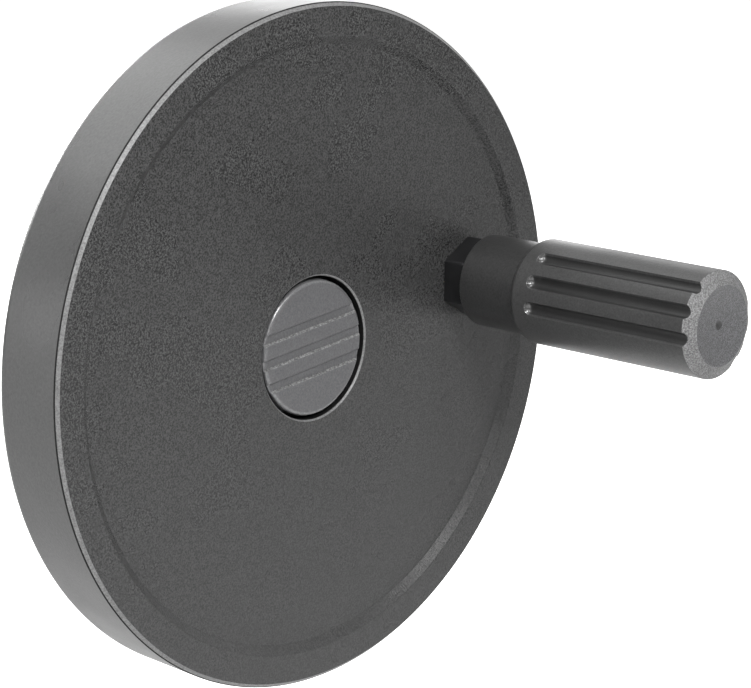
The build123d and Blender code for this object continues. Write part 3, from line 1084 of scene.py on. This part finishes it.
@dataclass
class CentreCap:
    """Snap-in cap with straight grooves right across it."""

    radius: float = 16.0
    top: float = 36.1
    ledge: float = 31.4
    edge_rounding: float = 0.9
    groove_count: int = 3
    groove_pitch: float = 5.75
    groove_width: float = 2.6
    groove_floor_width: float = 1.9
    groove_depth: float = 0.7
    groove_tilt: float = 6.0
    clip_radius: float = 13.0
    clip_wall: float = 1.6
    clip_end: float = 25.4
    edge_blend: float = 0.22
    edge_steps: int = 8
    edge_band: float = 0.25  # rows of faces that support the edge rounding
    inside_drop: float = 0.35  # of the plate's back, behind the middle of its edge
    columns: int = 24
    even_lines: int = 26
    wall_offsets: tuple[float, ...] = (-0.18, -0.1, -0.03, 0.03, 0.1, 0.18)
    end_lines: int = 7
    end_turn: float = 3.0  # degrees between the lines at the cap's two sides
    zone_margin: float = 0.3
    upward: float = 0.35  # least upward part of the normal of a groove wall that looks up
    crease: float = 40.0

    def groove_top(self, across: float) -> float:
        """Height of the grooved surface.

        Args:
            across: distance from the middle, across the grooves.

        Returns:
            The height there.
        """
        nearest = min(
            abs(across - (place - (self.groove_count - 1) / 2) * self.groove_pitch)
            for place in range(self.groove_count)
        )
        outer, inner = self.groove_width / 2, self.groove_floor_width / 2
        wall = (outer - nearest) / (outer - inner) * self.groove_depth
        depth = soft_least(max(wall, -self.edge_blend), self.groove_depth, self.edge_blend)
        return soft_least(self.top, self.top - depth, self.edge_blend)

    def lines_across(self) -> list[float]:
        """Places the mesh's lines, closer together at the groove edges.

        Returns:
            The lines' distances across the grooves, in order.
        """
        inner = self.radius - self.edge_rounding
        even = range(self.even_lines + 1)
        marks = {round(-inner + 2 * inner * step / self.even_lines, 4) for step in even}
        outer, floor = self.groove_width / 2, self.groove_floor_width / 2
        for place in range(self.groove_count):
            middle = (place - (self.groove_count - 1) / 2) * self.groove_pitch
            for edge in (outer, floor):
                for offset in self.wall_offsets:
                    marks |= {round(middle + edge + offset, 4), round(middle - edge - offset, 4)}
        for step in range(1, self.end_lines + 1):
            end = inner * math.cos(math.radians(self.end_turn * step))
            marks |= {round(end, 4), round(-end, 4)}
        return sorted(mark for mark in marks if abs(mark) <= inner)

    def mesh(self) -> Mesh:
        """Builds the cap: a grooved top in lines, then rings down its edge and its clip.

        Returns:
            The cap's closed mesh, with each face's finish set.
        """
        work = bmesh.new()
        tilt = math.radians(self.groove_tilt)
        inner = self.radius - self.edge_rounding

        def place(along: float, across: float, height: float) -> bmesh.types.BMVert:
            """Adds a point.

            Args:
                along: distance from the middle along the grooves.
                across: distance from the middle across the grooves.
                height: its height.

            Returns:
                The point.
            """
            x = along * math.cos(tilt) - across * math.sin(tilt)
            z = along * math.sin(tilt) + across * math.cos(tilt)
            return work.verts.new((x * MM, -height * MM, z * MM))

        lines: list[list[bmesh.types.BMVert]] = []
        for across in self.lines_across():
            reach = math.sqrt(max(inner * inner - across * across, 0.0))
            if reach < NEAR:
                lines.append([place(0.0, across, self.groove_top(across))])
                continue
            turns = [math.pi / 2 * (2 * step / self.columns - 1) for step in range(self.columns + 1)]
            lines.append([place(reach * math.sin(turn), across, self.groove_top(across)) for turn in turns])
        for low, high in zip(lines, lines[1:]):
            low_end, high_end = len(low) - 1, len(high) - 1
            for step in range(self.columns):
                here, following = min(step, low_end), min(step + 1, low_end)
                above, beside = min(step, high_end), min(step + 1, high_end)
                corners = (low[here], high[above], high[beside], low[following])
                work.faces.new(list(dict.fromkeys(corners)))
        edge = [line[-1] for line in lines] + [line[0] for line in reversed(lines[1:-1])]
        edge_turns = [math.atan2(vertex.co.z, vertex.co.x) - tilt for vertex in edge]
        previous = edge
        rings: list[Point] = []
        for step in range(1, self.edge_steps + 1):
            turn = math.pi / 2 * step / self.edge_steps
            drop = self.edge_rounding * (1 - math.cos(turn))
            rings.append((inner + self.edge_rounding * math.sin(turn), self.top - drop))
        rings += [
            (self.radius, self.top - self.edge_rounding - self.edge_band),
            (self.radius, self.ledge),
            (self.clip_radius, self.ledge),
            (self.clip_radius, self.clip_end),
            (self.clip_radius - self.clip_wall, self.clip_end),
            (self.clip_radius - self.clip_wall, (self.top + self.ledge) / 2 - self.inside_drop),
        ]
        for radius, height in rings:
            current = []
            for turn in edge_turns:
                along, across = radius * math.cos(turn), radius * math.sin(turn)
                level = height
                if radius > inner and height > self.top - self.edge_rounding - SLACK:
                    level = soft_least(height, self.groove_top(across), self.edge_blend)
                current.append(place(along, across, level))
            count = len(current)
            for step in range(count):
                following = (step + 1) % count
                work.faces.new((previous[step], previous[following], current[following], current[step]))
            previous = current
        work.faces.new(previous)
        mesh = bpy.data.meshes.new("centre_cap_cover")
        work.to_mesh(mesh)
        work.free()
        outward(mesh)
        smooth(mesh, self.crease)
        paint(mesh, self.zone)
        return mesh

    def zone(self, face: Face) -> CapZone:
        """Tells which finish a face of the cap has.

        Args:
            face: the face.

        Returns:
            The zone of the cap: the groove walls that look up, painted lighter as if lit from above, the
                rounding round the face, or the rest.
        """
        reach, height = placed(face)
        tilt = math.radians(self.groove_tilt)
        up = Vector((-math.sin(tilt), 0.0, math.cos(tilt)))
        in_groove = height > self.top - self.groove_depth - NEAR and reach < self.radius - self.zone_margin
        looks_up = face.normal.dot(up) > self.upward and face.normal.y < -FORWARD
        # the groove walls that look up get a lighter finish: painted light from above
        if in_groove and looks_up and self.groove_top(face.center.dot(up) / MM) < self.top - SLACK:
            return CapZone.GROOVE
        # the rounding round the face: glossier, and lighter as a painted highlight
        on_edge = reach > self.radius - self.edge_rounding and height > self.top - self.edge_rounding
        return CapZone.EDGE if on_edge else CapZone.FACE

    def build(self) -> list[Piece]:
        """Builds the cap.

        Returns:
            The cap alone.
        """
        piece = new_piece("centre_cap_cover", self.mesh(), [CAP_FINISHES[zone].build() for zone in CapZone])
        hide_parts("centre_cap")
        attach(piece, Body.WHEEL.value)
        return [piece]


@dataclass
class GripSpindle:
    """Blackened spindle with its threaded end, hexagon collar, journal and ring groove."""

    centre: Point = (53.335, 8.447)
    floor: float = 36.4
    thread_radius: float = 5.0
    thread_depth: float = 0.55
    thread_pitch: float = 1.5
    thread_length: float = 11.0
    thread_runout: float = 0.9
    thread_steps: int = 80
    end_chamfer: float = 1.0
    collar_across: float = 17.0
    collar_height: float = 6.7
    collar_face_step: float = 0.4
    collar_face_angle: float = 30.0
    collar_turn: float = 29.0
    corner_softness: float = 0.10
    face_softness: float = 0.05
    slope_steps: int = 10
    side_steps: int = 16
    corner_offsets: tuple[float, ...] = (-1.2, -1.0, -0.5, 0.0, 0.5, 1.0, 1.2)
    journal_radius: float = 5.0
    journal_length: float = 46.0
    ring_from_collar: float = 9.0
    ring_wire: float = 1.2
    ring_groove: float = 1.3
    crease: float = 28.0

    @property
    def collar_corner(self) -> float:
        """Radius at the corners of the collar's hexagon."""
        return self.collar_across / 2 / math.cos(math.pi / 6)

    def sections(self) -> list[Point]:
        """Section of the spindle.

        Returns:
            Its rows, from the threaded end to the journal's end.
        """
        start = self.floor - self.thread_length
        top = self.floor + self.collar_height
        ring = top + self.ring_from_collar
        face = self.collar_across / 2 - self.collar_face_step
        slope_width = self.collar_corner - face
        slope_rise = slope_width * math.tan(math.radians(self.collar_face_angle))
        slope = [
            Corner(
                self.collar_corner - slope_width * step / self.slope_steps,
                top - slope_rise * (1 - step / self.slope_steps),
            )
            for step in range(self.slope_steps)
        ]
        chamfer = self.end_chamfer
        turns = self.thread_length - 2 * chamfer
        rows: list[Point] = [(0.0, start), (self.thread_radius - chamfer, start)]
        rows += [
            (self.thread_radius, start + chamfer + turns * step / self.thread_steps)
            for step in range(self.thread_steps + 1)
        ]
        corners = [
            Corner(self.thread_radius, self.floor - self.thread_runout),
            Corner(self.thread_radius, self.floor),
            Corner(self.collar_corner, self.floor),
            *slope,
            Corner(face, top, self.face_softness),
            Corner(self.journal_radius, top),
            Corner(self.journal_radius, ring - self.ring_wire / 2),
            Corner(self.journal_radius - self.ring_groove, ring - self.ring_wire / 2),
            Corner(self.journal_radius - self.ring_groove, ring + self.ring_wire / 2),
            Corner(self.journal_radius, ring + self.ring_wire / 2),
            Corner(self.journal_radius, top + self.journal_length - chamfer),
            Corner(self.journal_radius - chamfer, top + self.journal_length),
            Corner(0.0, top + self.journal_length),
        ]
        return rows + rounded_outline(corners, closed=False, arc_steps=5)

    def reach(self, angle: float, radius: float, height: float) -> float:
        """Shapes the thread below the disc's floor and the six sides of the collar.

        Args:
            angle: angle round the spindle.
            radius: radius of the section there.
            height: height of the section there.

        Returns:
            The radius at that place.
        """
        start = self.floor - self.thread_length
        if start + self.thread_runout < height < self.floor - self.thread_runout:
            turn = (height / self.thread_pitch - angle / math.tau) % 1.0
            return radius - self.thread_depth * (1 - abs(2 * turn - 1))
        if radius > self.thread_radius + self.end_chamfer:
            side = (angle - math.radians(self.collar_turn)) % (math.pi / 3) - math.pi / 6
            across = self.collar_across / 2 / math.cos(side)
            return min(radius, across, self.collar_corner - self.corner_softness)
        return radius

    def angles(self) -> list[float]:
        """Spaces the mesh closer together at the collar's six corners.

        Returns:
            The angles of the mesh, in order.
        """
        marks: set[float] = set()
        for side in range(6):
            corner = self.collar_turn + 60.0 * side
            marks |= {round(corner + offset, 3) for offset in self.corner_offsets}
            between = range(1, self.side_steps)
            marks |= {round(corner + 60.0 * step / self.side_steps, 3) for step in between}
        return sorted(math.radians(mark % 360.0) for mark in marks)

    def build(self) -> list[Piece]:
        """Builds the spindle.

        Returns:
            The spindle alone.
        """
        mesh = turned_mesh("spindle_steel", self.sections(), self.angles(), self.centre, False, self.reach)
        smooth(mesh, self.crease)
        piece = new_piece("spindle_steel", mesh, [SPINDLE_FINISH.build()])
        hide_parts("grip_spindle")
        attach(piece, Body.WHEEL.value)
        return [piece]


@dataclass
class CrankGrip:
    """The fluted grip sleeve with its blind bore and dished end."""

    centre: Point = (53.335, 8.447)
    mouth: float = 43.4
    radius: float = 12.6
    neck_radius: float = 11.1
    neck_length: float = 16.4
    neck_rounding: float = 0.8
    shoulder_length: float = 1.2
    shoulder_rounding: float = 1.5
    top: float = 113.0
    chamfer_length: float = 1.9
    chamfer_depth: float = 3.2
    dish_depth: float = 1.0
    dimple_radius: float = 1.1
    dimple_depth: float = 0.6
    flute_count: int = 3
    flute_groups: int = 2
    flute_spacing: float = 29.3
    flute_group_angle: float = 156.7
    flute_radius: float = 1.74
    flute_depth: float = 1.3
    flute_start: float = 6.8
    flute_edge: float = 0.2
    flute_steps: int = 44
    flute_reach: float = 1.15  # half of what is meshed closely, as a share of a flute's half width
    flute_gap: float = 0.6  # degrees kept clear beside that
    round_steps: int = 240
    end_steps: int = 18
    straight_steps: int = 6
    bore_radius: float = 5.06
    bore_end: float = 90.1
    ring_room_radius: float = 6.2
    ring_middle: float = 52.1
    ring_room_half: float = 0.9
    drill_point: float = 3.0
    mouth_chamfer: float = 0.5
    chamfer_softness: float = 0.18
    chamfer_steps: int = 16
    dish_steps: int = 10
    dark_share: float = 0.7  # of the dimple's radius, in its middle with painted shade
    floor_from: float = 0.35  # of a flute's radius, where the painted shade on its end's floor starts
    flute_rim: float = 0.5  # below the sleeve, down to which a flute's wall keeps the sleeve's colour before its painted shade
    end_look: float = 0.4  # least forward part of the normal on a flute's round end
    crease: float = 24.0

    @property
    def shoulder(self) -> float:
        """Height where the neck ends."""
        return self.mouth + self.neck_length

    @property
    def flute_bottom(self) -> float:
        """Height where the straight part of the flutes starts."""
        return self.shoulder + self.flute_start

    def flute_angles(self) -> list[float]:
        """Spaces the flutes round the grip.

        Returns:
            The angle of each flute, in radians.
        """
        angles = []
        for group in range(self.flute_groups):
            middle = self.flute_group_angle + group * 360.0 / self.flute_groups
            for place in range(self.flute_count):
                aside = (place - (self.flute_count - 1) / 2) * self.flute_spacing
                angles.append(math.radians(middle + aside))
        return angles

    def reach(self, angle: float, radius: float, height: float) -> float:
        """Cuts the flutes into the outside.

        Args:
            angle: angle round the grip.
            radius: radius of the section there.
            height: height of the section there.

        Returns:
            The radius at that place.
        """
        if height < self.flute_bottom - self.flute_radius or radius < self.radius - self.flute_depth - 1.0:
            return radius
        below = max(self.flute_bottom - height, 0.0)
        round_squared = self.flute_radius**2 - below**2
        if round_squared <= 0:
            return radius
        centre = self.radius + self.flute_radius - self.flute_depth
        for flute in self.flute_angles():
            aside = (angle - flute + math.pi) % math.tau - math.pi
            if abs(aside) > 0.5:
                continue
            off = centre * math.sin(aside)
            if off * off >= round_squared:
                continue
            cut = centre * math.cos(aside) - math.sqrt(round_squared - off * off)
            return soft_least(radius, cut, self.flute_edge)
        return radius

    def angles(self) -> list[float]:
        """Spaces the mesh closer together across each flute.

        Returns:
            The angles of the mesh, in order.
        """
        marks: set[float] = set()
        half = math.degrees(self.flute_radius / self.radius) * self.flute_reach
        across = 2 * half / self.flute_steps
        middles = [math.degrees(flute) for flute in self.flute_angles()]
        for middle in middles:
            marks |= {
                round((middle - half + across * step) % 360.0, 4) for step in range(self.flute_steps + 1)
            }
        for step in range(self.round_steps):
            angle = 360.0 / self.round_steps * step
            aside = min(abs((angle - middle + 180.0) % 360.0 - 180.0) for middle in middles)
            if aside > half + self.flute_gap:
                marks.add(angle)
        return [math.radians(mark) for mark in sorted(marks)]

    def rows(self) -> list[Point]:
        """Section of the grip.

        Returns:
            Its rows, from the bore's end, over the mouth and the outside, to the dimple.
        """
        inside = [
            Corner(0.0, self.bore_end + self.drill_point),
            Corner(self.bore_radius, self.bore_end),
            Corner(self.bore_radius, self.ring_middle + self.ring_room_half),
            Corner(self.ring_room_radius, self.ring_middle + self.ring_room_half),
            Corner(self.ring_room_radius, self.ring_middle - self.ring_room_half),
            Corner(self.bore_radius, self.ring_middle - self.ring_room_half),
            Corner(self.bore_radius, self.mouth + self.mouth_chamfer),
            Corner(self.bore_radius + self.mouth_chamfer, self.mouth, 0.1),
            Corner(self.neck_radius, self.mouth, 0.35),
            Corner(self.neck_radius, self.shoulder, self.neck_rounding),
            Corner(self.radius, self.shoulder + self.shoulder_length, self.shoulder_rounding),
            Corner(self.radius, self.flute_bottom - self.flute_radius - 0.2),
        ]
        rows = rounded_outline(inside, closed=False)
        start = self.flute_bottom - self.flute_radius
        round_end = self.flute_radius / self.end_steps
        rows += [(self.radius, start + round_end * step) for step in range(self.end_steps + 1)]
        chamfer_start = self.top - self.chamfer_length
        straight = (chamfer_start - self.flute_bottom) / self.straight_steps
        between = range(1, self.straight_steps)
        rows += [(self.radius, self.flute_bottom + straight * step) for step in between]
        outside = [
            Corner(self.radius, chamfer_start - 1.0),
            Corner(self.radius, chamfer_start, self.chamfer_softness),
        ]
        outside += [
            Corner(
                self.radius - self.chamfer_depth * step / self.chamfer_steps,
                chamfer_start + self.chamfer_length * step / self.chamfer_steps,
            )
            for step in range(1, self.chamfer_steps)
        ]
        dish_radius = self.radius - self.chamfer_depth
        outside.append(Corner(dish_radius, self.top, self.chamfer_softness))
        outside += [
            Corner(
                dish_radius + (self.dimple_radius - dish_radius) * step / self.dish_steps,
                self.top - self.dish_depth * math.sin(math.pi / 2 * step / self.dish_steps),
            )
            for step in range(1, self.dish_steps + 1)
        ]
        outside.append(Corner(0.0, self.top - self.dish_depth - self.dimple_depth))
        return rows + rounded_outline(outside, closed=False, arc_steps=4)

    def zone(self, face: Face) -> GripZone:
        """Tells which finish a face of the grip has.

        Args:
            face: the face.

        Returns:
            The zone of the grip that it lies in.
        """
        reach, height = placed(face, self.centre)
        at_end = height > self.top - self.chamfer_length
        if at_end and reach < self.radius - self.chamfer_depth:
            if reach > self.dimple_radius:
                return GripZone.DISH
            # painted shade: the dimple's middle gets the darker sleeve finish
            in_painted_dimple_shade = reach < self.dimple_radius * self.dark_share
            return GripZone.SLEEVE if in_painted_dimple_shade else GripZone.CHAMFER
        if at_end and face.normal.y < -FORWARD:
            return GripZone.CHAMFER
        # painted shade inside the flutes
        flute_from = self.flute_bottom - self.flute_radius * self.floor_from
        flute_floor = self.radius - self.flute_depth - SLACK
        if height > flute_from and flute_floor < reach < self.radius - self.flute_rim:
            return GripZone.FLUTE
        # painted shade on the neck next to the disc
        if height < self.shoulder:
            return GripZone.NECK
        looks_forward = face.normal.y < -self.end_look
        on_round_end = height < flute_from and looks_forward and reach > flute_floor
        return GripZone.FLUTE_END if on_round_end else GripZone.SLEEVE

    def build(self) -> list[Piece]:
        """Builds the grip.

        Returns:
            The grip alone.
        """
        mesh = turned_mesh("grip_sleeve", self.rows(), self.angles(), self.centre, False, self.reach)
        smooth(mesh, self.crease)
        paint(mesh, self.zone)
        piece = new_piece("grip_sleeve", mesh, [GRIP_FINISHES[zone].build() for zone in GripZone])
        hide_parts("grip")
        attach(piece, Body.GRIP.value)
        return [piece]


@dataclass
class Studio:
    """Pale floor, soft lamps and the camera at the photograph's angle."""

    camera_place: Triple = (-0.48564, -0.50979, 0.16811)
    camera_azimuth: float = -46.92
    camera_elevation: float = 13.845
    camera_lens: float = 145.1
    sensor_width: float = 36.0
    floor_level: float = -0.20
    floor_size: float = 24.0
    floor_grey: float = 0.82
    floor_roughness: float = 0.9
    floor_glow: float = 0.97
    floor_mirrored: float = 0.20
    ambient: float = 0.0
    mirrored: float = 0.88

    def camera(self) -> None:
        """Sets the camera with no roll and no shift."""
        data = bpy.data.cameras.new("camera")
        data.lens = self.camera_lens
        data.sensor_width = self.sensor_width
        data.sensor_fit = "HORIZONTAL"
        data.clip_end = 100.0
        turn, rise = math.radians(self.camera_azimuth), math.radians(self.camera_elevation)
        back = Vector((math.sin(turn) * math.cos(rise), -math.cos(turn) * math.cos(rise), math.sin(rise)))
        right = Vector((math.cos(turn), math.sin(turn), 0.0))
        up = back.cross(right)
        camera = bpy.data.objects.new("camera", data)
        rotation = Matrix((right, up, back)).transposed().to_4x4()
        camera.matrix_world = Matrix.Translation(Vector(self.camera_place)) @ rotation
        bpy.context.scene.collection.objects.link(camera)
        bpy.context.scene.camera = camera

    def lamp(self, name: str, place: Triple, size: Point, power: float) -> None:
        """Adds one soft rectangular lamp, which faces the middle of the wheel's seat.

        Args:
            name: name of the lamp.
            place: where it stands, in metres.
            size: its width and height, in metres.
            power: its power in watts.
        """
        data = bpy.data.lights.new(name, "AREA")
        data.shape = "RECTANGLE"
        data.size, data.size_y = size
        data.energy = power
        lamp = bpy.data.objects.new(name, data)
        turned = (-Vector(place)).to_track_quat("-Z", "Y").to_matrix().to_4x4()
        lamp.matrix_world = Matrix.Translation(Vector(place)) @ turned
        bpy.context.scene.collection.objects.link(lamp)

    def floor(self) -> None:
        """Adds the pale floor, which looks white and still takes the shadow."""
        half = self.floor_size / 2
        mesh = bpy.data.meshes.new("floor")
        corners = [(-half, -half), (half, -half), (half, half), (-half, half)]
        mesh.from_pydata([(x, y, self.floor_level) for x, y in corners], [], [(0, 1, 2, 3)])
        floor = bpy.data.objects.new("floor", mesh)
        bpy.context.scene.collection.objects.link(floor)
        bench = NodeBench("floor")
        bench.shader.inputs["Base Color"].default_value = (*tone(self.floor_grey), 1.0)
        bench.shader.inputs["Roughness"].default_value = self.floor_roughness
        bench.shader.inputs["Emission Color"].default_value = WHITE
        path = bench.add("ShaderNodeLightPath")
        seen = bench.spread(path.outputs["Is Camera Ray"], 0.0, self.floor_glow)
        glow = bench.sum_of(seen, path.outputs["Is Glossy Ray"], self.floor_mirrored)
        bench.link(glow, bench.shader.inputs["Emission Strength"])
        mesh.materials.append(bench.material)

    def world(self) -> None:
        """Sets a white surround for the camera, which reflections see a little dimmer."""
        world = bpy.data.worlds.new("surround")
        bpy.context.scene.world = world
        world.use_nodes = True
        tree = world.node_tree
        tree.nodes.clear()
        add, link = tree.nodes.new, tree.links.new
        output = add("ShaderNodeOutputWorld")
        path = add("ShaderNodeLightPath")
        around, mirrored, seen = (add("ShaderNodeBackground") for _ in range(3))
        strengths = ((around, self.ambient), (mirrored, self.mirrored), (seen, 1.0))
        for background, strength in strengths:
            background.inputs["Color"].default_value = WHITE
            background.inputs["Strength"].default_value = strength
        inner, outer = add("ShaderNodeMixShader"), add("ShaderNodeMixShader")
        mixes = ((inner, "Is Glossy Ray", around, mirrored), (outer, "Is Camera Ray", inner, seen))
        for mix, ray, other_rays, these_rays in mixes:
            link(path.outputs[ray], mix.inputs[0])
            link(other_rays.outputs[0], mix.inputs[1])
            link(these_rays.outputs[0], mix.inputs[2])
        link(outer.outputs[0], output.inputs["Surface"])

    def build(self) -> None:
        """Builds the whole stage."""
        self.camera()
        self.world()
        self.floor()
        for lamp in LAMPS:
            self.lamp(*lamp)
        bpy.context.scene.view_settings.view_transform = "Standard"


def hidden_metal() -> None:
    """Dresses the two sealed metal pieces, which keep their own shapes."""
    for node, finish in HIDDEN_FINISHES.items():
        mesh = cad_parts[node].data
        mesh.materials.clear()
        mesh.materials.append(finish.build())


def main() -> None:
    """Builds every piece in order and reports it."""
    logging.basicConfig(level=logging.INFO, format="%(name)s: %(message)s")
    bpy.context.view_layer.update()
    for assembly in (WheelMoulding(), HubBush(), CentreCap(), GripSpindle(), CrankGrip()):
        for piece in assembly.build():
            LOG.info("%s: %d faces", piece.name, len(piece.data.polygons))
    hidden_metal()
    Studio().build()


if __name__ == "__main__":
    main()
